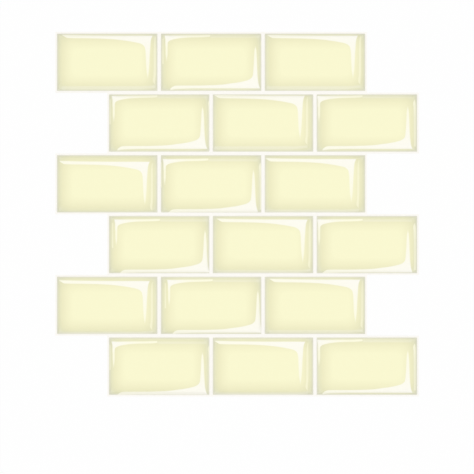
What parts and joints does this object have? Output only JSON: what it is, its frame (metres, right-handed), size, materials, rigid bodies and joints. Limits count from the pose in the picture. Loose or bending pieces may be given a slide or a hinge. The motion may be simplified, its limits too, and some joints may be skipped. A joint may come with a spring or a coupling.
{
  "type": "peel and stick backsplash tile",
  "caption": "Stepped running-bond sheet of cream gel bricks on printed vinyl with a peel-off adhesive back, for covering a kitchen wall.",
  "frame": {"origin": "middle of the release liner's back, under the middle of the stepped sheet", "axes": "+X along the courses to the right, +Y up the wall, +Z out of the wall through the gel bricks' faces"},
  "size_m": [0.3046, 0.3054, 0.002],
  "materials": {
    "release_liner": "satin",
    "vinyl_sheet": "matte",
    "gel_brick": "gloss"
  },
  "bodies": {
    "root": {"release_liner": "release_liner", "vinyl_sheet": "vinyl_sheet", "gel_brick_course_1_no_1": "gel_brick", "gel_brick_course_1_no_2": "gel_brick", "gel_brick_course_1_no_3": "gel_brick", "gel_brick_course_2_no_1": "gel_brick", "gel_brick_course_2_no_2": "gel_brick", "gel_brick_course_2_no_3": "gel_brick", "gel_brick_course_3_no_1": "gel_brick", "gel_brick_course_3_no_2": "gel_brick", "gel_brick_course_3_no_3": "gel_brick", "gel_brick_course_4_no_1": "gel_brick", "gel_brick_course_4_no_2": "gel_brick", "gel_brick_course_4_no_3": "gel_brick", "gel_brick_course_5_no_1": "gel_brick", "gel_brick_course_5_no_2": "gel_brick", "gel_brick_course_5_no_3": "gel_brick", "gel_brick_course_6_no_1": "gel_brick", "gel_brick_course_6_no_2": "gel_brick", "gel_brick_course_6_no_3": "gel_brick"}
  },
  "joints": []
}
